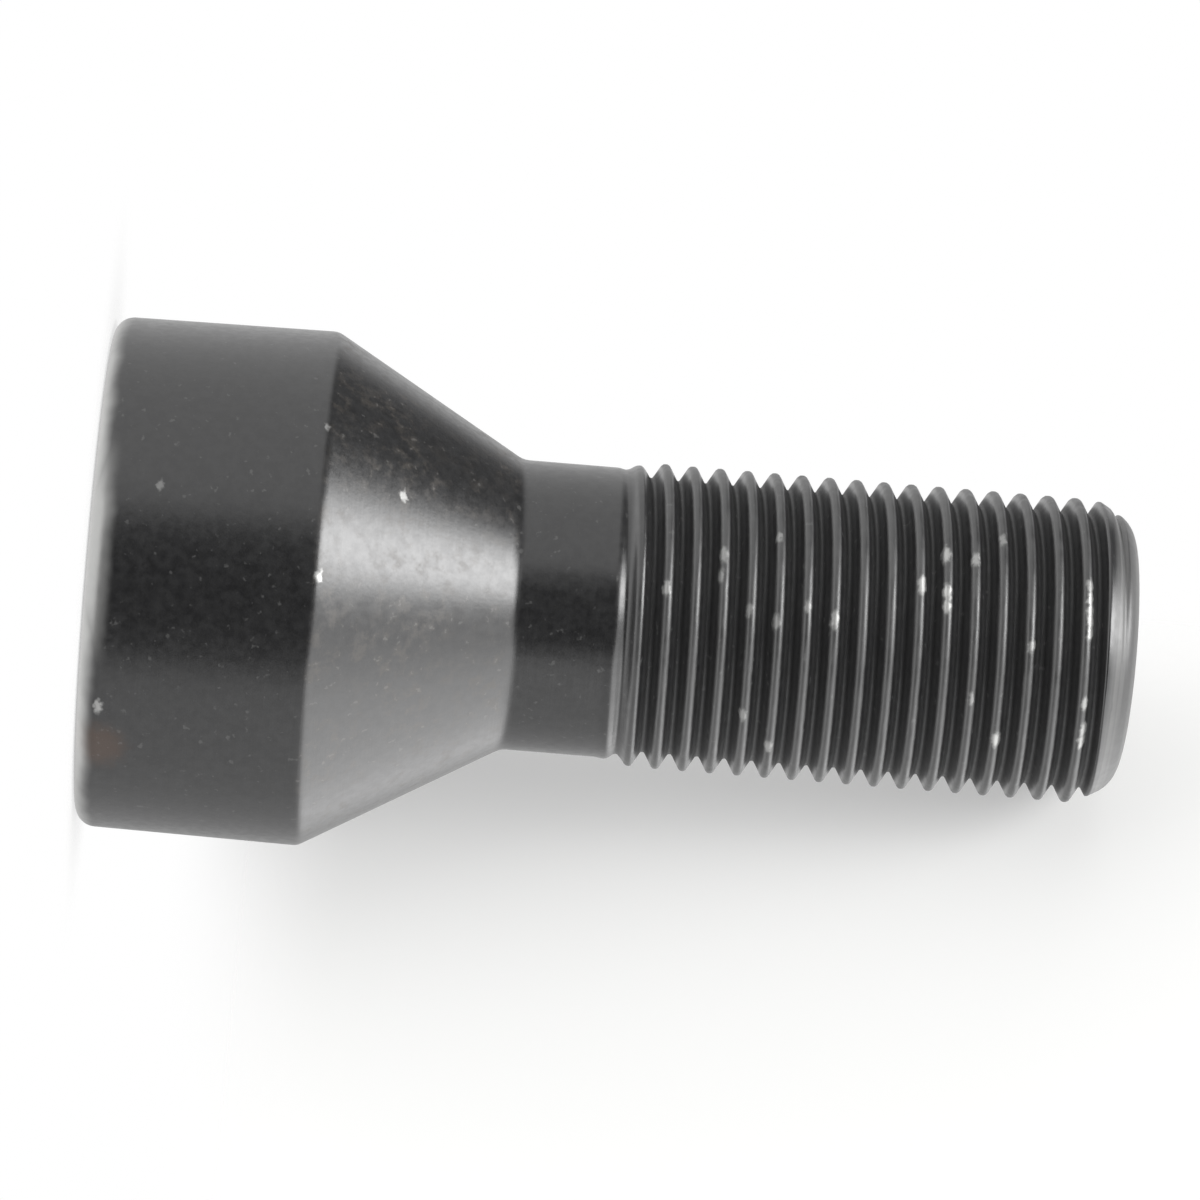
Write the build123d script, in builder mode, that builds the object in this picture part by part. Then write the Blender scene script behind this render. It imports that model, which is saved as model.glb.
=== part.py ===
from build123d import *
from math import radians, tan
import os

# A wheel bolt with a round head and a conical seat, in millimetres.
# It stands on its head: the origin is the centre of the head's end face, and +Z runs to the tip.

# Head: a forged round head, a little narrower at its end face
head_radius = 11.7
head_length = 10.1
head_draft = 0.75
head_edge = 0.9

# Seat: the cone that centres the bolt in the wheel
seat_half_angle = 30
seat_rim_edge = 0.8
seat_root_fillet = 1.0

# Shank: the plain part, as thick as the blank that the thread is rolled from
shank_radius = 6.6
shank_length = 4.1

# Thread: M14 x 1.25, right-hand. The solid has the cylinder that its crests lie on
thread_radius = 7.0
thread_length = 22.0
run_out_length = 1.9

# Tip: a chamfer that leads into the hub, with a rounded edge
tip_length = 1.9
tip_half_angle = 30
tip_edge = 1.5

# Drive: a narrow lobed groove in the head's end face, which a key with the same lobes turns.
# Its middle line is a star with its points and its valleys bent round
key_lobes = 5
key_point_radius = 8.4
key_valley_radius = 5.2
key_point_bend = 1.9
key_valley_bend = 3.0
key_width = 1.9
key_depth = 4.0
key_edge = 0.25

head_end_radius = head_radius - head_length * tan(radians(head_draft))
shank_start = head_length + (head_radius - shank_radius) / tan(radians(seat_half_angle))
run_out_start = shank_start + shank_length
thread_start = run_out_start + run_out_length
tip_end = thread_start + thread_length
tip_start = tip_end - tip_length
tip_radius = thread_radius - tip_length * tan(radians(tip_half_angle))

# Corners of the turned profile, as distance from the axis and height, with the radius on each
end_corner = (head_end_radius, 0)
rim_corner = (head_radius, head_length)
seat_corner = (shank_radius, shank_start)
tip_corner = (tip_radius, tip_end)
rounded_corners = {
    end_corner: head_edge,
    rim_corner: seat_rim_edge,
    seat_corner: seat_root_fillet,
    tip_corner: tip_edge,
}

# Corners of the star, points and valleys in turn, with the first point on +X
lobe_angle = 360 / key_lobes
first_point = Vector(key_point_radius, 0)
first_valley = Vector(key_valley_radius, 0).rotate(Axis.Z, lobe_angle / 2)
star_points = [first_point.rotate(Axis.Z, lobe_angle * lobe) for lobe in range(key_lobes)]
star_valleys = [first_valley.rotate(Axis.Z, lobe_angle * lobe) for lobe in range(key_lobes)]
star = [corner for pair in zip(star_points, star_valleys) for corner in pair]

with BuildPart() as wheel_bolt:
    # Head, seat, shank, thread and tip are one turned form
    with BuildSketch(Plane.XZ):
        with BuildLine():
            Polyline(
                (0, 0),
                end_corner,
                rim_corner,
                seat_corner,
                (shank_radius, run_out_start),
                (thread_radius, thread_start),
                (thread_radius, tip_start),
                tip_corner,
                (0, tip_end),
                close=True,
            )
        make_face()
        for corner, radius in rounded_corners.items():
            fillet(vertices().sort_by_distance(corner)[0], radius)
    revolve(axis=Axis.Z)

    # The key groove lies half its width to each side of the star's line
    with BuildSketch(Plane.XY):
        with BuildLine():
            Polyline(*star, close=True)
        make_face()
        fillet([vertices().sort_by_distance(corner)[0] for corner in star_points], key_point_bend)
        middle = fillet([vertices().sort_by_distance(corner)[0] for corner in star_valleys], key_valley_bend)
        offset(amount=key_width / 2)
        offset(middle, amount=-key_width / 2, mode=Mode.SUBTRACT)
    extrude(amount=key_depth, mode=Mode.SUBTRACT)

    # Both edges of the groove's mouth are broken: the hole in the end face and the island's outline
    end_ring, island = faces().group_by(Axis.Z)[0].sort_by(SortBy.AREA, reverse=True)
    chamfer(end_ring.inner_wires()[0].edges() + island.edges(), key_edge)

wheel_bolt.part.label = "wheel_bolt"

os.makedirs("parts", exist_ok=True)
export_step(wheel_bolt.part, "parts/wheel_bolt.step")

print("length", round(tip_end, 2), "mm, volume", round(wheel_bolt.part.volume), "cubic mm")
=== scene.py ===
import math

import bmesh
import bpy
from mathutils import Matrix, Vector


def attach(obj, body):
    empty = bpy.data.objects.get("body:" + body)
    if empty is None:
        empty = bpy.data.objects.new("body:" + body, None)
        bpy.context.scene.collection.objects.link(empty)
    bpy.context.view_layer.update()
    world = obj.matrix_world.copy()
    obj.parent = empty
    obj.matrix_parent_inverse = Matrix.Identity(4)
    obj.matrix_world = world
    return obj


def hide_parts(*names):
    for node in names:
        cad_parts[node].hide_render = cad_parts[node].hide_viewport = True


# A wheel bolt with a round head, a conical seat and a fine right-hand thread. Sizes are in millimetres
mm = 0.001
shadeMargin = 0.12  # a point this close to each end of a rounding keeps the shading beside it clean
mergeDistance = 2e-6  # in metres, as Blender takes it

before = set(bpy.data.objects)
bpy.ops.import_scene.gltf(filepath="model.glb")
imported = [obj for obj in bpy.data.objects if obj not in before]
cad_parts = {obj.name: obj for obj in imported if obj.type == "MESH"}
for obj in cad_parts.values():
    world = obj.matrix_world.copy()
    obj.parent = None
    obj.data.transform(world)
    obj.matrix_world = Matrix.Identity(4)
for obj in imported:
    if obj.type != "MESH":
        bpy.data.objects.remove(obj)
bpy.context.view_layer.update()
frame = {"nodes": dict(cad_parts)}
print("frame loaded:", ", ".join(frame["nodes"]))


# Small helpers for node trees
def addNode(tree, kind, inputs=None, **settings):
    node = tree.nodes.new(kind)
    for name, value in settings.items():
        setattr(node, name, value)
    for name, value in (inputs or {}).items():
        socket = node.inputs[name]
        if isinstance(value, bpy.types.NodeSocket):
            tree.links.new(value, socket)
        else:
            socket.default_value = value
    return node


def calc(tree, operation, *values):
    node = tree.nodes.new("ShaderNodeMath")
    node.operation = operation
    for socket, value in zip(node.inputs, values):
        if isinstance(value, bpy.types.NodeSocket):
            tree.links.new(value, socket)
        else:
            socket.default_value = value
    return node.outputs[0]


def dotWith(tree, vector, direction):
    node = addNode(tree, "ShaderNodeVectorMath", {0: vector, 1: direction}, operation="DOT_PRODUCT")
    return node.outputs["Value"]


def ramp(tree, value, low, high, toLow=0.0, toHigh=1.0, steps="SMOOTHSTEP"):
    inputs = {"Value": value, "From Min": low, "From Max": high, "To Min": toLow, "To Max": toHigh}
    return addNode(tree, "ShaderNodeMapRange", inputs, interpolation_type=steps).outputs[0]


# The same over two lengths in millimetres, whole up to the first and gone past the second
def reachRamp(tree, value, reach, toLow=1.0, toHigh=0.0):
    return ramp(tree, value, reach[0] * mm, reach[1] * mm, toLow, toHigh)


# The blank: head, cone and plain shank, as forged
blank = {
    "headRadius": 11.7,
    "headLength": 10.1,
    "headDraft": 0.75,
    "headEdge": 0.9,
    "rimEdge": 0.8,
    "seatHalfAngle": 30,
    "seatFillet": 1.0,
    "shankRadius": 6.6,
    "shankLength": 4.1,
    "flatMargin": 0.15,
    "columns": 192,
}

# The thread, rolled on the blank, with its tip
thread = {
    "pitch": 1.25,
    "crestRadius": 6.93,
    "depth": 0.72,
    "crestWidth": 0.26,
    "crestRound": 0.2,
    "rootRound": 0.1,
    "flankAngle": 30,
    "runOut": 2.2,
    "length": 23.9,
    "crestAt": 25.39,
    "rowsPerPitch": 16,
    "coneRadius": 7.0,
    "tipLength": 1.9,
    "tipHalfAngle": 30,
    "tipEdge": 1.5,
    "tipEdgeSteps": 8,
    "tipBlend": 0.1,
    "endPastTip": 1.52,
    "wear": 0.05,
    "wearScale": 9.0,
    "wearShare": (0.56, 0.76),
    "wearBeside": (0.12, 0.36),
}

headEndRadius = blank["headRadius"] - blank["headLength"] * math.tan(math.radians(blank["headDraft"]))
coneLength = (blank["headRadius"] - blank["shankRadius"]) / math.tan(math.radians(blank["seatHalfAngle"]))
shankStart = blank["headLength"] + coneLength
threadStart = shankStart + blank["shankLength"]
tipEnd = threadStart + thread["length"]
tipStart = tipEnd - thread["tipLength"]
tipSlope = math.tan(math.radians(thread["tipHalfAngle"]))
tipRadius = thread["coneRadius"] - thread["tipLength"] * tipSlope
tipAngle = math.radians(thread["tipHalfAngle"])
flatRadius = headEndRadius - blank["headEdge"] - blank["flatMargin"]

# The middle of the tip's rounding, and the height where it starts
edgeRadius = tipRadius - thread["tipEdge"] / math.tan(math.pi / 4 + tipAngle / 2)
edgeHeight = tipEnd - thread["tipEdge"]
edgeStart = edgeHeight + thread["tipEdge"] * math.sin(tipAngle)

# The thread's mesh ends where the tip's rounding is already inside the thread's root
threadEnd = tipStart + thread["endPastTip"]


# The arc in a corner, as its centre and the points on it from start to end
def cornerArc(before, here, after, radius, stepAngle=9):
    toBefore = (before - here).normalized()
    toAfter = (after - here).normalized()
    half = toBefore.angle(toAfter) / 2
    centre = here + (toBefore + toAfter).normalized() * radius / math.sin(half)
    start = (here + toBefore * radius / math.tan(half) - centre).normalized()
    end = (here + toAfter * radius / math.tan(half) - centre).normalized()
    steps = max(3, round(math.degrees(start.angle(end)) / stepAngle))
    return centre, [centre + start.slerp(end, step / steps) * radius for step in range(steps + 1)]


# A line of radius and height with its corners rounded
def roundedLine(corners):
    places = [Vector(corner[:2]) for corner in corners]
    points = [places[0]]
    for index in range(1, len(corners) - 1):
        before, here, after = places[index - 1 : index + 2]
        arc = cornerArc(before, here, after, corners[index][2])[1]
        points.append(arc[0] + (before - here).normalized() * shadeMargin)
        points += arc
        points.append(arc[-1] + (after - here).normalized() * shadeMargin)
    points.append(places[-1])
    return points


def profileObject(name, points):
    mesh = bpy.data.meshes.new(name)
    mesh.from_pydata([(radius * mm, 0, height * mm) for radius, height in points], [], [])
    return bpy.data.objects.new(name, mesh)


blankProfile = profileObject(
    "blankProfile",
    roundedLine(
        [
            (flatRadius, 0),
            (headEndRadius, 0, blank["headEdge"]),
            (blank["headRadius"], blank["headLength"], blank["rimEdge"]),
            (blank["shankRadius"], shankStart, blank["seatFillet"]),
            (blank["shankRadius"], threadStart),
        ]
    ),
)
firstAngle = math.asin((threadEnd - edgeHeight) / thread["tipEdge"])
tipLine = []
for step in range(thread["tipEdgeSteps"] + 1):
    angle = firstAngle + (math.pi / 2 - firstAngle) * step / thread["tipEdgeSteps"]
    outward = thread["tipEdge"] * math.cos(angle)
    upward = thread["tipEdge"] * math.sin(angle)
    tipLine.append((edgeRadius + outward, edgeHeight + upward))
tipProfile = profileObject("tipProfile", tipLine + [(edgeRadius - shadeMargin, tipEnd), (0, tipEnd)])


# Geometry Nodes: a profile turned about the axis
def buildLatheGroup():
    tree = bpy.data.node_groups.new("lathe", "GeometryNodeTree")
    tree.interface.new_socket(name="Profile", in_out="INPUT", socket_type="NodeSocketObject")
    tree.interface.new_socket(name="Columns", in_out="INPUT", socket_type="NodeSocketInt")
    tree.interface.new_socket(name="Geometry", in_out="OUTPUT", socket_type="NodeSocketGeometry")
    source = addNode(tree, "NodeGroupInput").outputs
    profile = addNode(tree, "GeometryNodeObjectInfo", {"Object": source["Profile"]}).outputs["Geometry"]
    count = addNode(tree, "GeometryNodeAttributeDomainSize", {"Geometry": profile}).outputs["Point Count"]
    columns = calc(tree, "ADD", source["Columns"], 1)
    gridInputs = {"Size X": 1, "Size Y": 1, "Vertices X": columns, "Vertices Y": count}
    grid = addNode(tree, "GeometryNodeMeshGrid", gridInputs).outputs["Mesh"]
    position = addNode(tree, "GeometryNodeInputPosition").outputs[0]
    place = addNode(tree, "ShaderNodeSeparateXYZ", {0: position}).outputs
    angle = calc(tree, "MULTIPLY", calc(tree, "ADD", place["X"], 0.5), 2 * math.pi)
    row = calc(tree, "MULTIPLY", calc(tree, "ADD", place["Y"], 0.5), calc(tree, "SUBTRACT", count, 1))
    row = calc(tree, "ROUND", row)
    sampleInputs = {"Geometry": profile, "Value": position, "Index": row}
    sample = tree.nodes.new("GeometryNodeSampleIndex")
    sample.data_type = "FLOAT_VECTOR"
    for name, value in sampleInputs.items():
        socket = next(s for s in sample.inputs if s.name == name and s.enabled)
        tree.links.new(value, socket)
    point = next(s for s in sample.outputs if s.enabled)
    point = addNode(tree, "ShaderNodeSeparateXYZ", {0: point}).outputs
    across = calc(tree, "MULTIPLY", point["X"], calc(tree, "COSINE", angle))
    along = calc(tree, "MULTIPLY", point["X"], calc(tree, "SINE", angle))
    target = addNode(tree, "ShaderNodeCombineXYZ", {"X": across, "Y": along, "Z": point["Z"]}).outputs[0]
    turned = addNode(tree, "GeometryNodeSetPosition", {"Geometry": grid, "Position": target}).outputs[0]
    addNode(tree, "NodeGroupOutput", {"Geometry": turned})
    return tree


# Geometry Nodes: rows that climb with the thread, so that each row keeps its place on the thread's profile
def buildThreadGroup():
    tree = bpy.data.node_groups.new("rolledThread", "GeometryNodeTree")
    for name in ("Columns", "Rows Per Pitch"):
        tree.interface.new_socket(name=name, in_out="INPUT", socket_type="NodeSocketInt")
    floatNames = (
        "Pitch",
        "Start",
        "End",
        "Crest At",
        "Crest Radius",
        "Depth",
        "Crest Width",
        "Crest Round",
        "Root Round",
        "Blank Radius",
        "Run Out",
        "Tip Start",
        "Tip Slope",
        "Cone Radius",
        "Edge Bend",
        "Edge Radius",
        "Edge Height",
        "Edge Start",
        "Wear",
    )
    for name in floatNames:
        tree.interface.new_socket(name=name, in_out="INPUT", socket_type="NodeSocketFloat")
    tree.interface.new_socket(name="Geometry", in_out="OUTPUT", socket_type="NodeSocketGeometry")
    source = addNode(tree, "NodeGroupInput").outputs

    length = calc(tree, "SUBTRACT", source["End"], source["Start"])
    turns = calc(tree, "ADD", calc(tree, "CEIL", calc(tree, "DIVIDE", length, source["Pitch"])), 1)
    lastRow = calc(tree, "MULTIPLY", turns, source["Rows Per Pitch"])
    rows = calc(tree, "ADD", lastRow, 1)
    columns = calc(tree, "ADD", source["Columns"], 1)
    gridInputs = {"Size X": 1, "Size Y": 1, "Vertices X": columns, "Vertices Y": rows}
    grid = addNode(tree, "GeometryNodeMeshGrid", gridInputs).outputs["Mesh"]
    place = addNode(tree, "ShaderNodeSeparateXYZ", {0: addNode(tree, "GeometryNodeInputPosition").outputs[0]}).outputs
    turn = calc(tree, "ADD", place["X"], 0.5)
    row = calc(tree, "ROUND", calc(tree, "MULTIPLY", calc(tree, "ADD", place["Y"], 0.5), lastRow))
    angle = calc(tree, "MULTIPLY", turn, 2 * math.pi)

    # Height of a row: it climbs one pitch in a turn and stops at both ends of the thread
    climb = calc(tree, "ADD", calc(tree, "DIVIDE", row, source["Rows Per Pitch"]), turn)
    height = calc(tree, "MULTIPLY_ADD", calc(tree, "SUBTRACT", climb, 1), source["Pitch"], source["Start"])
    height = calc(tree, "MINIMUM", calc(tree, "MAXIMUM", height, source["Start"]), source["End"])

    # Distance from the nearest crest, along the axis. Ten turns more keep the phase positive, and half a turn more
    # puts a crest in its middle
    phase = calc(tree, "DIVIDE", calc(tree, "SUBTRACT", height, source["Crest At"]), source["Pitch"])
    phase = calc(tree, "FRACT", calc(tree, "ADD", calc(tree, "SUBTRACT", phase, turn), 10.5))
    distance = calc(tree, "MULTIPLY", calc(tree, "ABSOLUTE", calc(tree, "SUBTRACT", phase, 0.5)), source["Pitch"])

    # The 60 degree profile, with its crest and its root rounded
    halfCrest = calc(tree, "MULTIPLY", source["Crest Width"], 0.5)
    flankSlope = 1 / math.tan(math.radians(thread["flankAngle"]))
    flank = calc(tree, "MULTIPLY", calc(tree, "SUBTRACT", distance, halfCrest), flankSlope)
    drop = calc(tree, "SMOOTH_MAX", flank, 0.0, source["Crest Round"])
    drop = calc(tree, "SMOOTH_MIN", drop, source["Depth"], source["Root Round"])
    radius = calc(tree, "SUBTRACT", source["Crest Radius"], drop)

    # The thread fades out of the plain shank and ends in the tip's cone and its rounding
    fade = calc(tree, "DIVIDE", calc(tree, "SUBTRACT", height, source["Start"]), source["Run Out"])
    fade = ramp(tree, fade, 0.0, 1.0)
    radius = calc(tree, "SUBTRACT", radius, source["Blank Radius"])
    radius = calc(tree, "MULTIPLY_ADD", radius, fade, source["Blank Radius"])
    cone = calc(tree, "MULTIPLY", calc(tree, "SUBTRACT", height, source["Tip Start"]), source["Tip Slope"])
    cone = calc(tree, "SUBTRACT", source["Cone Radius"], cone)
    rise = calc(tree, "POWER", calc(tree, "SUBTRACT", height, source["Edge Height"]), 2.0)
    bend = calc(tree, "SUBTRACT", calc(tree, "POWER", source["Edge Bend"], 2.0), rise)
    bend = calc(tree, "ADD", source["Edge Radius"], calc(tree, "SQRT", calc(tree, "MAXIMUM", bend, 0.0)))
    rounded = calc(tree, "GREATER_THAN", height, source["Edge Start"])
    cone = calc(tree, "MULTIPLY_ADD", calc(tree, "SUBTRACT", bend, cone), rounded, cone)
    radius = calc(tree, "SMOOTH_MIN", radius, cone, thread["tipBlend"] * mm)

    # Knocks on the crests
    cosine = calc(tree, "COSINE", angle)
    sine = calc(tree, "SINE", angle)
    spotHeight = calc(tree, "MULTIPLY", height, 1 / (thread["coneRadius"] * mm))
    spot = addNode(tree, "ShaderNodeCombineXYZ", {"X": cosine, "Y": sine, "Z": spotHeight}).outputs[0]
    noiseInputs = {"Vector": spot, "Scale": thread["wearScale"], "Detail": 3.0, "Roughness": 0.6}
    noise = addNode(tree, "ShaderNodeTexNoise", noiseInputs).outputs[0]
    knock = ramp(tree, noise, *thread["wearShare"])
    nearCrest = reachRamp(tree, distance, thread["wearBeside"])
    deep = calc(tree, "MULTIPLY", fade, source["Wear"])
    knock = calc(tree, "MULTIPLY", calc(tree, "MULTIPLY", knock, nearCrest), deep)
    knock = calc(tree, "MULTIPLY", knock, ramp(tree, height, source["Tip Start"], source["End"], 1.0, 0.0))
    radius = calc(tree, "SUBTRACT", radius, knock)

    target = {"X": calc(tree, "MULTIPLY", radius, cosine), "Y": calc(tree, "MULTIPLY", radius, sine), "Z": height}
    target = addNode(tree, "ShaderNodeCombineXYZ", target).outputs[0]
    rolled = addNode(tree, "GeometryNodeSetPosition", {"Geometry": grid, "Position": target}).outputs[0]
    addNode(tree, "NodeGroupOutput", {"Geometry": rolled})
    return tree, floatNames


latheGroup = buildLatheGroup()
threadGroup, threadNames = buildThreadGroup()


# Geometry Nodes: the blank, the tip and the thread, joined into one shell
def buildShellTree():
    tree = bpy.data.node_groups.new("boltShell", "GeometryNodeTree")
    tree.interface.new_socket(name="Geometry", in_out="INPUT", socket_type="NodeSocketGeometry")
    for name in ("Blank Profile", "Tip Profile"):
        tree.interface.new_socket(name=name, in_out="INPUT", socket_type="NodeSocketObject")
    for name in ("Columns", "Rows Per Pitch"):
        tree.interface.new_socket(name=name, in_out="INPUT", socket_type="NodeSocketInt")
    for name in threadNames:
        tree.interface.new_socket(name=name, in_out="INPUT", socket_type="NodeSocketFloat")
    tree.interface.new_socket(name="Finish", in_out="INPUT", socket_type="NodeSocketMaterial")
    tree.interface.new_socket(name="Geometry", in_out="OUTPUT", socket_type="NodeSocketGeometry")
    source = addNode(tree, "NodeGroupInput").outputs
    parts = []
    for name in ("Blank Profile", "Tip Profile"):
        lathe = tree.nodes.new("GeometryNodeGroup")
        lathe.node_tree = latheGroup
        tree.links.new(source[name], lathe.inputs["Profile"])
        tree.links.new(source["Columns"], lathe.inputs["Columns"])
        parts.append(lathe.outputs[0])
    rolled = tree.nodes.new("GeometryNodeGroup")
    rolled.node_tree = threadGroup
    for name in ("Columns", "Rows Per Pitch", *threadNames):
        tree.links.new(source[name], rolled.inputs[name])
    parts.append(rolled.outputs[0])
    join = tree.nodes.new("GeometryNodeJoinGeometry")
    for part in parts:
        tree.links.new(part, join.inputs[0])
    mergeInputs = {"Geometry": join.outputs[0], "Distance": mergeDistance}
    merged = addNode(tree, "GeometryNodeMergeByDistance", mergeInputs).outputs[0]
    smooth = addNode(tree, "GeometryNodeSetShadeSmooth", {"Geometry": merged}).outputs[0]
    coatInputs = {"Geometry": smooth, "Material": source["Finish"]}
    finished = addNode(tree, "GeometryNodeSetMaterial", coatInputs).outputs[0]
    addNode(tree, "NodeGroupOutput", {"Geometry": finished})
    return tree


# Black coat: satin black over steel, rubbed through in places, with a painted highlight on the head's end edge and a
# patch of painted shade low on the head. Sizes and reaches are in millimetres, and a place is a height and an angle,
# as in bareSpots
blackCoat = {
    "dark": (0.006, 0.006, 0.0065, 1),
    "pale": (0.012, 0.012, 0.0125, 1),
    "brown": (0.026, 0.022, 0.018, 1),
    "worn": (0.042, 0.042, 0.042, 1),
    # Painted shade: a brown darkening low on the head near its end edge
    "paintedShade": (0.035, 0.018, 0.010, 1),
    "steel": (0.50, 0.50, 0.49, 1),
    "ior": 1.8,
    "smooth": 0.275,
    "rough": 0.325,
    "mottleSize": 0.45,
    "fleckSize": 0.7,
    "fleckSpan": (0.46, 0.66),
    "fleckPatchSize": 3.5,
    "fleckPatches": (0.4, 0.6, 0.25, 1.0),
    "fleckDull": 0.09,
    "rootDull": 0.3,
    "wornSize": 1.1,
    "wornPatches": (0.3, 0.7, 0.45, 1.0),
    "wornDull": 0.2,
    "bareDull": 0.1,
    "tipDull": 0.12,
    "paintedShadeAt": (1.05, 131.3),
    "paintedShadeReach": (0.9, 2.1),
    "paintedShadeRag": 0.8,
    "edgeWearAndHighlight": 0.65,
    "edgeReach": (-0.2, 0.6),
    "edgeRag": 0.6,
    "edgeRagSize": 2.2,
    # The wider band on the side that the camera sees is a painted highlight
    "paintedHighlightAt": (0.2, 85),
    "paintedHighlightSpread": (2.0, 6.0),
    "paintedHighlightReach": (0.1, 1.0),
    "tipWear": 0.14,
    "tipLineSize": 0.16,
    "tipLines": (0.4, 1.7),
    "speckWear": 0.08,
    "speckSize": 0.35,
    "speckSpan": (0.66, 0.74),
    "spotCore": 0.3,
    "spotRag": 0.4,
    "spotRagSize": 0.25,
    "spotStretch": (0.6, 0.6, 1.2),
    "grainSize": 0.22,
    "grainHeight": 0.004,
    "ringSize": 0.18,
    "ringStretch": (0.02, 0.02, 1),
    "ringHeight": 0.004,
}

# Where the finish changes: from and to, as distances past a height or a radius of the bolt
finishChange = {
    "coneStart": (-0.4, 0.2),
    "coneEnd": (-0.4, 0.1),
    "thread": (0.5, 2.0),
    "tip": (0.5, 0.9),
    "root": (-0.5, -0.25),
    "crest": (-0.20, -0.08),
    "endFace": (-0.2, 0.5),
}

# Most of a noise's values lie between these two
noiseSpan = (0.35, 0.65)

# Bare specks and nicks: height, angle in degrees from the side that is up in the picture, size and strength
bareSpots = [
    (10.0, 52.4, 0.20, 0.5),
    (13.62, 63.0, 0.26, 0.8),
    (10.2, 87.4, 0.26, 0.8),
    (2.96, 70.0, 0.22, 0.3),
    (1.01, 120.6, 0.30, 0.7),
    (23.4, 75.8, 0.22, 0.4),
    (25.6, 79.2, 0.30, 0.7),
    (27.96, 72.6, 0.30, 0.5),
    (28.04, 64.1, 0.34, 0.5),
    (29.32, 85.2, 0.28, 0.4),
    (29.47, 126.1, 0.28, 0.5),
    (30.46, 54.9, 0.26, 0.5),
    (30.56, 88.4, 0.32, 0.5),
    (30.82, 141.6, 0.34, 0.6),
    (31.93, 81.9, 0.26, 0.5),
    (33.17, 85.9, 0.34, 0.7),
    (36.99, 69.6, 0.36, 0.9),
    (37.97, 56.3, 0.36, 0.9),
    (38.09, 72.0, 0.34, 1.0),
    (38.11, 76.5, 0.34, 0.9),
    (39.32, 57.9, 0.30, 0.7),
    (39.55, 111.4, 0.26, 0.5),
    (40.52, 47.5, 0.28, 0.5),
    (40.91, 128.1, 0.36, 0.8),
    (42.02, 89.6, 0.28, 0.5),
    (44.5, 64.9, 0.32, 0.7),
    (44.52, 69.6, 0.32, 0.9),
    (44.55, 74.3, 0.34, 1.0),
    (44.58, 78.5, 0.32, 0.9),
    (44.6, 83.0, 0.30, 0.7),
    (44.64, 109.7, 0.30, 0.7),
    (44.75, 121.0, 0.32, 0.9),
    (44.75, 126.0, 0.32, 0.8),
]


def noiseAt(tree, place, size, detail=3.0, roughness=0.55):
    inputs = {"Vector": place, "Scale": 1 / (size * mm), "Detail": detail, "Roughness": roughness}
    return addNode(tree, "ShaderNodeTexNoise", inputs).outputs[0]


def mixColor(tree, share, first, second):
    node = tree.nodes.new("ShaderNodeMix")
    node.data_type = "RGBA"
    for socket, value in zip((node.inputs[0], node.inputs[6], node.inputs[7]), (share, first, second)):
        if isinstance(value, bpy.types.NodeSocket):
            tree.links.new(value, socket)
        else:
            socket.default_value = value
    return node.outputs[2]


# The bolt's outside at a height
def surfaceRadius(height):
    if height < blank["headLength"]:
        return headEndRadius + height * math.tan(math.radians(blank["headDraft"]))
    if height < shankStart:
        return blank["headRadius"] - (height - blank["headLength"]) * math.tan(math.radians(blank["seatHalfAngle"]))
    if height < threadStart:
        return blank["shankRadius"]
    return thread["crestRadius"]


# Distance from a place on the bolt's surface
def spotDistance(tree, place, height, angle, stretch=(1, 1, 1)):
    turn = math.radians(180 + angle)
    reach = surfaceRadius(height)
    centre = (reach * math.cos(turn) * mm, reach * math.sin(turn) * mm, height * mm)
    offset = addNode(tree, "ShaderNodeVectorMath", {0: place, 1: centre}, operation="SUBTRACT").outputs[0]
    offset = addNode(tree, "ShaderNodeVectorMath", {0: offset, 1: stretch}, operation="MULTIPLY").outputs[0]
    return addNode(tree, "ShaderNodeVectorMath", {0: offset}, operation="LENGTH").outputs["Value"]


# A share that changes at a height or a radius, as finishChange says
def changeAt(tree, value, place, name, toLow=0.0, toHigh=1.0):
    start, end = finishChange[name]
    return reachRamp(tree, value, (place + start, place + end), toLow, toHigh)


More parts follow.
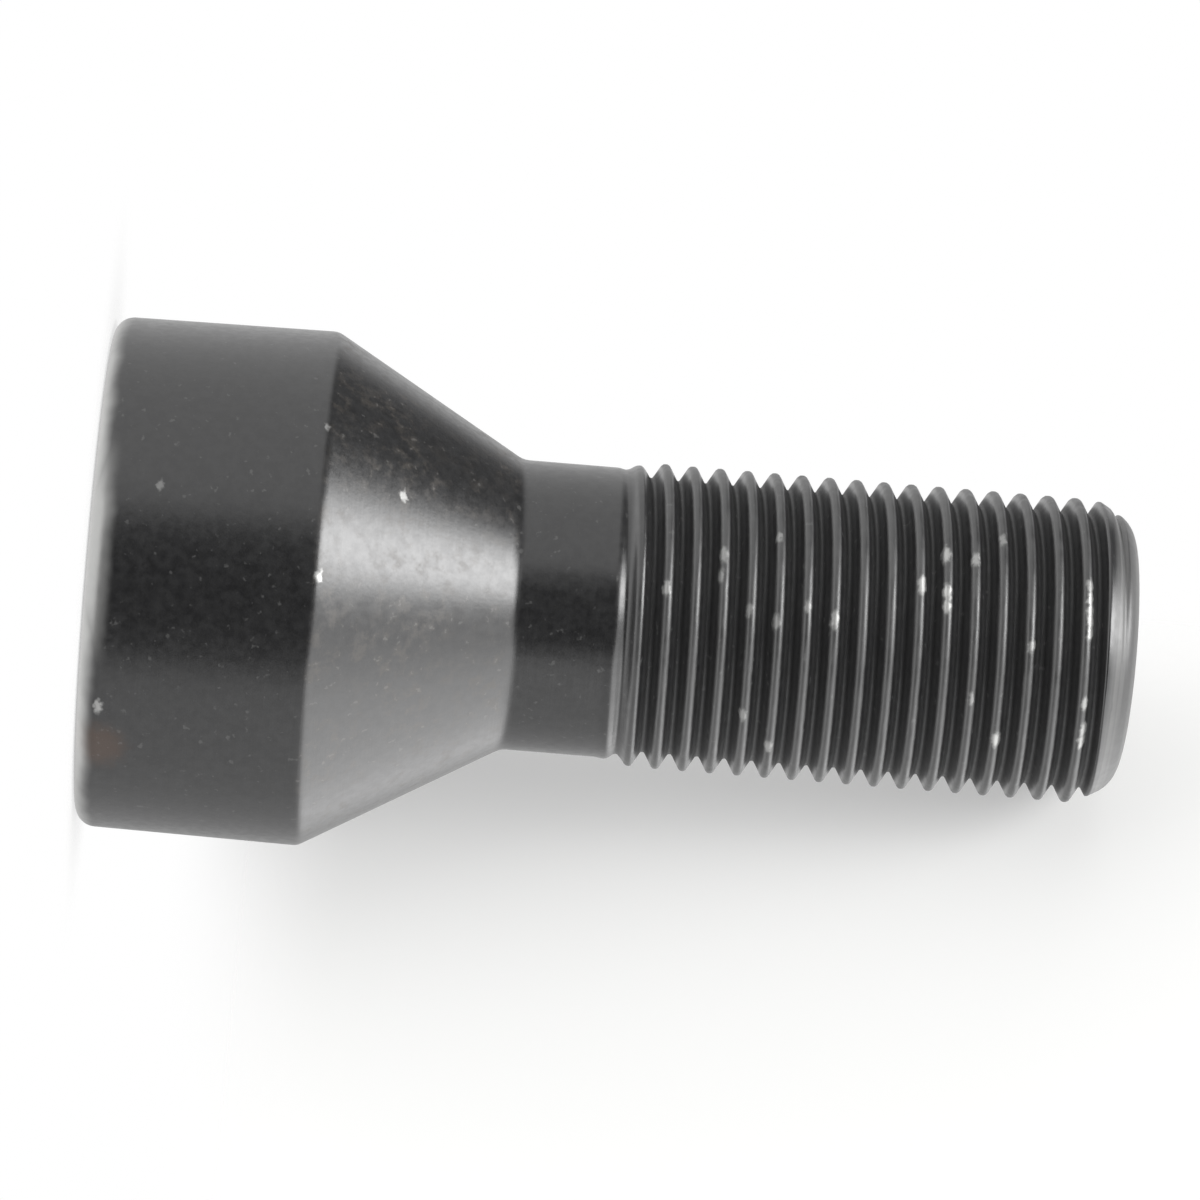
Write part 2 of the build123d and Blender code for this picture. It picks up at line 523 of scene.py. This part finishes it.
def buildBlackCoat():
    material = bpy.data.materials.new("blackCoat")
    material.use_nodes = True
    tree = material.node_tree
    shader = tree.nodes["Principled BSDF"]
    place = addNode(tree, "ShaderNodeTexCoord").outputs["Object"]
    part = addNode(tree, "ShaderNodeSeparateXYZ", {0: place}).outputs
    height = part["Z"]
    flat = addNode(tree, "ShaderNodeCombineXYZ", {"X": part["X"], "Y": part["Y"]}).outputs[0]
    radius = addNode(tree, "ShaderNodeVectorMath", {0: flat}, operation="LENGTH").outputs["Value"]

    # Where things are on the bolt
    onCone = changeAt(tree, height, blank["headLength"], "coneStart")
    onCone = calc(tree, "MULTIPLY", onCone, changeAt(tree, height, shankStart, "coneEnd", 1.0, 0.0))
    onThread = changeAt(tree, height, threadStart, "thread")
    onTip = changeAt(tree, height, tipStart, "tip")

    # The coat: mottled everywhere, with dull brown flecks in patches on the cone
    patches = ramp(tree, noiseAt(tree, place, blackCoat["mottleSize"], 4.0, 0.7), *noiseSpan)
    color = mixColor(tree, patches, blackCoat["dark"], blackCoat["pale"])
    flecks = ramp(tree, noiseAt(tree, place, blackCoat["fleckSize"], 4.0, 0.7), *blackCoat["fleckSpan"])
    fleckPatches = noiseAt(tree, place, blackCoat["fleckPatchSize"], 2.0)
    fleckPatches = ramp(tree, fleckPatches, *blackCoat["fleckPatches"])
    flecks = calc(tree, "MULTIPLY", calc(tree, "MULTIPLY", flecks, fleckPatches), onCone)
    color = mixColor(tree, flecks, color, blackCoat["brown"])
    fine = noiseAt(tree, place, blackCoat["grainSize"] * 2, 2.0)
    roughness = ramp(tree, fine, *noiseSpan, blackCoat["smooth"], blackCoat["rough"])
    roughness = calc(tree, "MULTIPLY_ADD", flecks, blackCoat["fleckDull"], roughness)

    # Dull roots between the crests, and a brown patch of painted shade low on the head near its end edge
    root = changeAt(tree, radius, thread["crestRadius"], "root", 1.0, 0.0)
    beforeTip = ramp(tree, onTip, 0.0, 1.0, 1.0, 0.0)
    root = calc(tree, "MULTIPLY", root, calc(tree, "MULTIPLY", onThread, beforeTip))
    roughness = calc(tree, "MULTIPLY_ADD", root, blackCoat["rootDull"], roughness)
    # The painted shade sits low on the head, just past its end edge
    paintedShade = spotDistance(tree, place, *blackCoat["paintedShadeAt"])
    paintedShade = calc(tree, "MULTIPLY_ADD", fine, blackCoat["paintedShadeRag"] * mm, paintedShade)
    color = mixColor(tree, reachRamp(tree, paintedShade, blackCoat["paintedShadeReach"]), color, blackCoat["paintedShade"])

    # Worn grey along the crests
    crest = changeAt(tree, radius, thread["crestRadius"], "crest")
    crest = calc(tree, "MULTIPLY", crest, onThread)
    wornPatches = ramp(tree, noiseAt(tree, place, blackCoat["wornSize"], 3.0), *blackCoat["wornPatches"])
    crest = calc(tree, "MULTIPLY", crest, wornPatches)
    color = mixColor(tree, crest, color, blackCoat["worn"])
    roughness = calc(tree, "MULTIPLY_ADD", crest, blackCoat["wornDull"], roughness)

    # Bare steel worn through on the head's end edge all round, and a wider band on the side that the camera sees,
    # which is a painted highlight
    edgeNoise = noiseAt(tree, place, blackCoat["edgeRagSize"], 2.0)
    ragged = calc(tree, "MULTIPLY_ADD", edgeNoise, -blackCoat["edgeRag"] * mm, height)
    edge = reachRamp(tree, ragged, blackCoat["edgeReach"])
    paintedHighlightSide = spotDistance(tree, place, *blackCoat["paintedHighlightAt"])
    paintedHighlightSide = reachRamp(tree, paintedHighlightSide, blackCoat["paintedHighlightSpread"])
    paintedHighlight = reachRamp(tree, ragged, blackCoat["paintedHighlightReach"])
    edge = calc(tree, "MAXIMUM", edge, calc(tree, "MULTIPLY", paintedHighlightSide, paintedHighlight))
    edge = calc(tree, "MULTIPLY", edge, changeAt(tree, radius, flatRadius, "endFace"))
    bareAndHighlight = calc(tree, "MULTIPLY", edge, blackCoat["edgeWearAndHighlight"])

    # Bare steel in turned lines on the tip, and in specks everywhere
    reachOut = addNode(tree, "ShaderNodeCombineXYZ", {"X": calc(tree, "ADD", radius, height)}).outputs[0]
    lines = noiseAt(tree, reachOut, blackCoat["tipLineSize"], 2.0)
    lines = ramp(tree, lines, *noiseSpan, *blackCoat["tipLines"])
    tipWear = calc(tree, "MULTIPLY", calc(tree, "MULTIPLY", onTip, lines), blackCoat["tipWear"])
    bareAndHighlight = calc(tree, "MAXIMUM", bareAndHighlight, tipWear)
    specks = noiseAt(tree, place, blackCoat["speckSize"], 2.0, 0.5)
    specks = ramp(tree, specks, *blackCoat["speckSpan"], 0.0, blackCoat["speckWear"])
    bareAndHighlight = calc(tree, "MAXIMUM", bareAndHighlight, specks)

    # The nicks of bareSpots, with ragged outlines
    ragInputs = {"Vector": place, "Scale": 1 / (blackCoat["spotRagSize"] * mm), "Detail": 2.0}
    rag = addNode(tree, "ShaderNodeTexNoise", ragInputs).outputs[1]
    ragInputs = {0: rag, 1: (blackCoat["spotRag"] * mm,) * 3, 2: place}
    ragPlace = addNode(tree, "ShaderNodeVectorMath", ragInputs, operation="MULTIPLY_ADD").outputs[0]
    centring = (-blackCoat["spotRag"] / 2 * mm,) * 3
    ragPlace = addNode(tree, "ShaderNodeVectorMath", {0: ragPlace, 1: centring}, operation="ADD").outputs[0]
    for spotHeight, angle, size, strength in bareSpots:
        away = spotDistance(tree, ragPlace, spotHeight, angle, blackCoat["spotStretch"])
        bareAndHighlight = calc(tree, "MAXIMUM", bareAndHighlight, reachRamp(tree, away, (size * blackCoat["spotCore"], size), strength))

    # Bare steel, and the painted highlight on the head's end edge, both show as steel
    color = mixColor(tree, bareAndHighlight, color, blackCoat["steel"])
    roughness = calc(tree, "MULTIPLY_ADD", bareAndHighlight, blackCoat["bareDull"], roughness)
    roughness = calc(tree, "MULTIPLY_ADD", onTip, blackCoat["tipDull"], roughness)
    tree.links.new(color, shader.inputs["Base Color"])
    tree.links.new(bareAndHighlight, shader.inputs["Metallic"])
    tree.links.new(roughness, shader.inputs["Roughness"])
    shader.inputs["IOR"].default_value = blackCoat["ior"]

    # Grain of the coat, and rings round the bolt from turning
    grain = noiseAt(tree, place, blackCoat["grainSize"], 3.0, 0.6)
    stretchInputs = {0: place, 1: blackCoat["ringStretch"]}
    stretched = addNode(tree, "ShaderNodeVectorMath", stretchInputs, operation="MULTIPLY").outputs[0]
    rings = noiseAt(tree, stretched, blackCoat["ringSize"], 2.0)
    grainInputs = {"Height": grain, "Distance": blackCoat["grainHeight"] * mm, "Strength": 1.0}
    bump = addNode(tree, "ShaderNodeBump", grainInputs).outputs[0]
    ringInputs = {"Height": rings, "Distance": blackCoat["ringHeight"] * mm, "Strength": 1.0, "Normal": bump}
    bump = addNode(tree, "ShaderNodeBump", ringInputs).outputs[0]
    tree.links.new(bump, shader.inputs["Normal"])
    return material


coatMaterial = buildBlackCoat()

# The shell: blank, thread and tip
shellTree = buildShellTree()
shellHolder = bpy.data.objects.new("shellHolder", bpy.data.meshes.new("shellHolder"))
for helper in (shellHolder, blankProfile, tipProfile):
    bpy.context.scene.collection.objects.link(helper)
    helper.hide_render = helper is not shellHolder
shellModifier = shellHolder.modifiers.new("boltShell", "NODES")
shellModifier.node_group = shellTree
shellInputs = {
    "Blank Profile": blankProfile,
    "Tip Profile": tipProfile,
    "Columns": blank["columns"],
    "Rows Per Pitch": thread["rowsPerPitch"],
    "Pitch": thread["pitch"] * mm,
    "Start": threadStart * mm,
    "End": threadEnd * mm,
    # The crest is measured at the side that is up in the picture, half a turn from +X
    "Crest At": (thread["crestAt"] - thread["pitch"] / 2) * mm,
    "Crest Radius": thread["crestRadius"] * mm,
    "Depth": thread["depth"] * mm,
    "Crest Width": thread["crestWidth"] * mm,
    "Crest Round": thread["crestRound"] * mm,
    "Root Round": thread["rootRound"] * mm,
    "Blank Radius": blank["shankRadius"] * mm,
    "Run Out": thread["runOut"] * mm,
    "Tip Start": tipStart * mm,
    "Tip Slope": tipSlope,
    "Cone Radius": thread["coneRadius"] * mm,
    "Edge Bend": thread["tipEdge"] * mm,
    "Edge Radius": edgeRadius * mm,
    "Edge Height": edgeHeight * mm,
    "Edge Start": edgeStart * mm,
    "Wear": thread["wear"] * mm,
    "Finish": coatMaterial,
}
for item in shellTree.interface.items_tree:
    if item.in_out == "INPUT" and item.name in shellInputs:
        shellModifier[item.identifier] = shellInputs[item.name]
bpy.context.view_layer.update()
evaluated = shellHolder.evaluated_get(bpy.context.evaluated_depsgraph_get())
shellMesh = bpy.data.meshes.new_from_object(evaluated)
shellHolder.modifiers.remove(shellModifier)
print("shell:", len(shellMesh.vertices), "vertices")

# The key groove in the head's end face, which follows a star with its corners bent round
keyGroove = {
    "lobes": 5,
    "pointRadius": 8.4,
    "valleyRadius": 5.2,
    "pointBend": 1.9,
    "valleyBend": 3.0,
    "width": 1.9,
    "depth": 4.0,
    "edge": 0.25,
    "reach": 9.5,
    "margin": 0.1,
    "sharpAngle": 30,
}


# Points along the groove's middle, each with the direction across it
def grooveLine():
    corners = []
    for lobe in range(keyGroove["lobes"]):
        for name, share in (("point", 0), ("valley", 0.5)):
            angle = 2 * math.pi * (lobe + share) / keyGroove["lobes"]
            corner = Vector((math.cos(angle), math.sin(angle))) * keyGroove[name + "Radius"]
            corners.append((corner, keyGroove[name + "Bend"], 1 if name == "point" else -1))
    line = []
    for index, (here, bend, outward) in enumerate(corners):
        after = corners[(index + 1) % len(corners)][0]
        centre, arc = cornerArc(corners[index - 1][0], here, after, bend)
        line += [(point, (point - centre).normalized() * outward) for point in arc]
    return line


# Small helpers for the end face's mesh
def addLoop(bm, points, height):
    return [bm.verts.new((x * mm, y * mm, height * mm)) for x, y in points]


def bridge(bm, first, second):
    for index in range(len(first)):
        bm.faces.new((first[index - 1], first[index], second[index], second[index - 1]))


def fillBetween(bm, *loops):
    edges = []
    for loop in loops:
        for index in range(len(loop)):
            edge = bm.edges.get((loop[index - 1], loop[index]))
            edges.append(edge or bm.edges.new((loop[index - 1], loop[index])))
    bmesh.ops.triangle_fill(bm, use_beauty=True, edges=edges)


# Close the shell with the end face and the groove in it
def cutEndFace(mesh):
    bm = bmesh.new()
    bm.from_mesh(mesh)
    line = grooveLine()
    half = keyGroove["width"] / 2
    edge = keyGroove["edge"]
    depth = keyGroove["depth"]
    # From the end face down to the groove's floor, as distance beyond the wall and height
    mouth = [(edge + shadeMargin, 0), (edge, 0), (0, edge), (0, edge + shadeMargin)]
    steps = mouth + [(0, depth - shadeMargin), (0, depth)]
    walls = {}
    for side in (1, -1):
        loops = [addLoop(bm, [p + n * side * (half + out) for p, n in line], h) for out, h in steps]
        for first, second in zip(loops, loops[1:]):
            bridge(bm, first, second)
        walls[side] = loops
    bridge(bm, walls[1][-1], walls[-1][-1])
    columns = blank["columns"]
    angles = [2 * math.pi * index / columns for index in range(columns)]
    rim = addLoop(bm, [(flatRadius * math.cos(a), flatRadius * math.sin(a)) for a in angles], 0)
    fillBetween(bm, rim, walls[1][0])
    fillBetween(bm, walls[-1][0])
    bmesh.ops.remove_doubles(bm, verts=bm.verts[:], dist=mergeDistance)
    bmesh.ops.dissolve_degenerate(bm, edges=bm.edges[:], dist=1e-7)
    bmesh.ops.recalc_face_normals(bm, faces=bm.faces[:])
    openEdges = [edge for edge in bm.edges if len(edge.link_faces) != 2]
    for face in bm.faces:
        face.smooth = True
        face.material_index = 0
    for edge in bm.edges:
        inGroove = max(vert.co.z for vert in edge.verts) < (depth + keyGroove["margin"]) * mm
        inGroove = inGroove and max(vert.co.xy.length for vert in edge.verts) < keyGroove["reach"] * mm
        edge.smooth = not (inGroove and edge.calc_face_angle(0) > math.radians(keyGroove["sharpAngle"]))
    bm.to_mesh(mesh)
    triangles = sum(len(face.verts) - 2 for face in bm.faces)
    bm.free()
    mesh.materials.clear()
    mesh.materials.append(coatMaterial)
    print("bolt:", triangles, "triangles,", len(openEdges), "open edges")


cutEndFace(shellMesh)
shellMesh.name = "wheelBolt"
wheelBolt = bpy.data.objects.new("wheelBolt", shellMesh)
bpy.context.scene.collection.objects.link(wheelBolt)
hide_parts("wheel_bolt")
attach(wheelBolt, "root")
for helper in (shellHolder, blankProfile, tipProfile):
    bpy.data.objects.remove(helper)

# The camera looks at the bolt from the side and lies on its own side, so that the bolt points to the right
view = {
    "tilt": 2.0,
    "roll": 4.68,
    "pixelSize": 0.0455,
    "pixelsAway": 6400,
    "centreHeight": 22.96,
    "centreDrop": 11.6,
    "pictureSize": 1200,
    "sensorWidth": 36,
    "clip": (0.01, 20),
}
tilt = math.radians(view["tilt"])
roll = math.radians(view["roll"])
toCamera = Vector((0, -math.cos(tilt), -math.sin(tilt)))
alongBolt = Vector((0, -math.sin(tilt), math.cos(tilt)))
acrossBolt = Vector((-1, 0, 0))
pictureRight = alongBolt * math.cos(roll) + acrossBolt * math.sin(roll)
pictureUp = acrossBolt * math.cos(roll) - alongBolt * math.sin(roll)
target = Vector((0, 0, view["centreHeight"] * mm)) + pictureUp * view["centreDrop"] * view["pixelSize"] * mm
standing = target + toCamera * view["pixelsAway"] * view["pixelSize"] * mm
looking = Matrix((pictureRight, pictureUp, toCamera)).transposed().to_4x4()
camera = bpy.data.objects.new("camera", bpy.data.cameras.new("camera"))
bpy.context.scene.collection.objects.link(camera)
camera.data.sensor_width = view["sensorWidth"]
camera.data.lens = view["sensorWidth"] * view["pixelsAway"] / view["pictureSize"]
camera.data.clip_start, camera.data.clip_end = view["clip"]
camera.matrix_world = Matrix.Translation(standing) @ looking
bpy.context.scene.camera = camera

# Soft light all round, with the dark of the room where the camera stands and a window on the right. The spans are
# shares of a direction along the bolt, across it in the picture, or towards the camera
light = {
    "surround": 1.0,
    "below": 0.74,
    "left": 1.7,
    "lowRight": 1.25,
    "deepRight": 2.75,
    "highRight": 0.15,
    "window": 9.0,
    "room": 0.05,
    "roomSize": 34,
    "roomSoftness": 4,
    "roomDrop": 5.5,
    "aboveSpan": (-0.3, 0.3),
    "leftSpan": (-0.4, -0.8),
    "rightSpan": (0.12, 0.4),
    "lowRightSpan": (0.0, -0.15),
    "deepRightSpan": (-0.15, -0.75),
    "highRightSpan": (0.45, 0.6),
    "windowFrom": (-0.03, 0.13),
    "windowTo": (0.64, 0.34),
    "windowAlong": (0.5, 0.65),
    "windowTowards": (-0.1, 0.05),
}


def buildWorld():
    world = bpy.data.worlds.new("studio")
    bpy.context.scene.world = world
    world.use_nodes = True
    tree = world.node_tree
    tree.nodes.clear()
    direction = addNode(tree, "ShaderNodeTexCoord").outputs["Generated"]
    along = dotWith(tree, direction, alongBolt)
    across = dotWith(tree, direction, acrossBolt)
    towards = dotWith(tree, direction, toCamera)

    # The base, with the value in its place as far as all the shares go together
    def blend(base, value, *shares):
        share = shares[0]
        for other in shares[1:]:
            share = calc(tree, "MULTIPLY", share, other)
        return addNode(tree, "ShaderNodeMix", {0: share, 2: base, 3: value}).outputs[0]

    strength = ramp(tree, across, *light["aboveSpan"], light["below"], light["surround"])
    strength = blend(strength, light["left"], ramp(tree, along, *light["leftSpan"]))
    right = ramp(tree, along, *light["rightSpan"])
    low = ramp(tree, across, *light["deepRightSpan"], light["lowRight"], light["deepRight"])
    strength = blend(strength, low, right, ramp(tree, across, *light["lowRightSpan"]))
    strength = blend(strength, light["highRight"], right, ramp(tree, across, *light["highRightSpan"]))
    inWindow = (
        calc(tree, "MULTIPLY", ramp(tree, across, *light["windowFrom"]), ramp(tree, across, *light["windowTo"])),
        ramp(tree, along, *light["windowAlong"]),
        ramp(tree, towards, *light["windowTowards"]),
    )
    strength = blend(strength, light["window"], *inWindow)
    drop = math.radians(light["roomDrop"])
    roomAt = toCamera * math.cos(drop) - acrossBolt * math.sin(drop)
    softness = light["roomSoftness"]
    roomEdge = [math.cos(math.radians(light["roomSize"] + change)) for change in (softness, -softness)]
    strength = blend(strength, light["room"], ramp(tree, dotWith(tree, direction, roomAt), *roomEdge))

    # The camera itself sees plain white
    isCamera = addNode(tree, "ShaderNodeLightPath").outputs["Is Camera Ray"]
    strength = blend(strength, 1.0, isCamera)
    background = addNode(tree, "ShaderNodeBackground", {"Color": (1, 1, 1, 1), "Strength": strength})
    output = addNode(tree, "ShaderNodeOutputWorld")
    tree.links.new(background.outputs[0], output.inputs["Surface"])


buildWorld()

# The floor that the bolt stands on, and the pale sheet behind it that takes its soft shadow in the picture
ground = {
    "floorSize": 18,
    "floorPale": 0.68,
    "floorColor": (0.5, 0.5, 0.495, 1),
    "sheetSize": 50,
    "sheetPale": 0.4,
    "sheetColor": (0.9, 0.9, 0.885, 1),
    "sheetTurn": 45,
    "sheetAlong": 14,
    "sheetFromHead": (4, 13),
    "sheetFromMiddle": (-5, 3),
    "clear": 0.02,
    "fadeFrom": 0.5,
    "margin": 1.05,
}


# Matt paper that shows shadows softly and fades out towards its edge. It can't be seen from behind
def buildGroundMaterial(name, pale, color, size):
    material = bpy.data.materials.new(name)
    material.use_nodes = True
    tree = material.node_tree
    tree.nodes.clear()
    place = addNode(tree, "ShaderNodeTexCoord").outputs["Object"]
    away = addNode(tree, "ShaderNodeVectorMath", {0: place}, operation="LENGTH").outputs["Value"]
    matt = addNode(tree, "ShaderNodeBsdfDiffuse", {"Color": color}).outputs[0]
    glow = addNode(tree, "ShaderNodeEmission", {"Color": (1, 1, 1, 1), "Strength": 1.0}).outputs[0]
    paper = addNode(tree, "ShaderNodeMixShader", {0: pale, 1: matt, 2: glow}).outputs[0]
    clear = addNode(tree, "ShaderNodeBsdfTransparent").outputs[0]
    behind = addNode(tree, "ShaderNodeNewGeometry").outputs["Backfacing"]
    gone = calc(tree, "MAXIMUM", behind, reachRamp(tree, away, (size * ground["fadeFrom"], size), 0.0, 1.0))
    if name == "sheet":
        # Nothing of the sheet shows beside the head or on the side that is up in the picture
        position = addNode(tree, "ShaderNodeNewGeometry").outputs["Position"]
        spot = addNode(tree, "ShaderNodeSeparateXYZ", {0: position}).outputs
        gone = calc(tree, "MAXIMUM", gone, reachRamp(tree, spot["Z"], ground["sheetFromHead"]))
        gone = calc(tree, "MAXIMUM", gone, reachRamp(tree, spot["X"], ground["sheetFromMiddle"]))
    shown = addNode(tree, "ShaderNodeMixShader", {0: gone, 1: paper, 2: clear}).outputs[0]
    output = addNode(tree, "ShaderNodeOutputMaterial")
    tree.links.new(shown, output.inputs["Surface"])
    return material


# A flat square that only the camera sees
def layGround(name, centre, normal):
    mesh = bpy.data.meshes.new(name)
    size = ground[name + "Size"]
    half = size * ground["margin"] * mm
    mesh.from_pydata([(-half, -half, 0), (half, -half, 0), (half, half, 0), (-half, half, 0)], [], [(0, 1, 2, 3)])
    mesh.materials.append(buildGroundMaterial(name, ground[name + "Pale"], ground[name + "Color"], size))
    sheet = bpy.data.objects.new(name, mesh)
    bpy.context.scene.collection.objects.link(sheet)
    sheet.matrix_world = Matrix.Translation(centre) @ normal.to_track_quat("Z", "Y").to_matrix().to_4x4()
    for ray in ("diffuse", "glossy", "transmission", "volume_scatter", "shadow"):
        setattr(sheet, "visible_" + ray, False)


layGround("floor", Vector((0, 0, -ground["clear"] * mm)), Vector((0, 0, 1)))

# The sheet touches the rims of head and thread, as the ground does where a bolt lies
sheetTurn = math.radians(ground["sheetTurn"])
sheetSide = Vector((-math.cos(sheetTurn), -math.sin(sheetTurn), 0))
headCorner = Vector((0, 0, blank["headLength"])) - sheetSide * blank["headRadius"]
threadCorner = Vector((0, 0, tipStart)) - sheetSide * thread["coneRadius"]
restLine = (threadCorner - headCorner).normalized()
sheetNormal = (sheetSide - restLine * sheetSide.dot(restLine)).normalized()
sheetCentre = (headCorner + restLine * ground["sheetAlong"] - sheetNormal * ground["clear"]) * mm
layGround("sheet", sheetCentre, sheetNormal)

bpy.context.scene.view_settings.view_transform = "Standard"
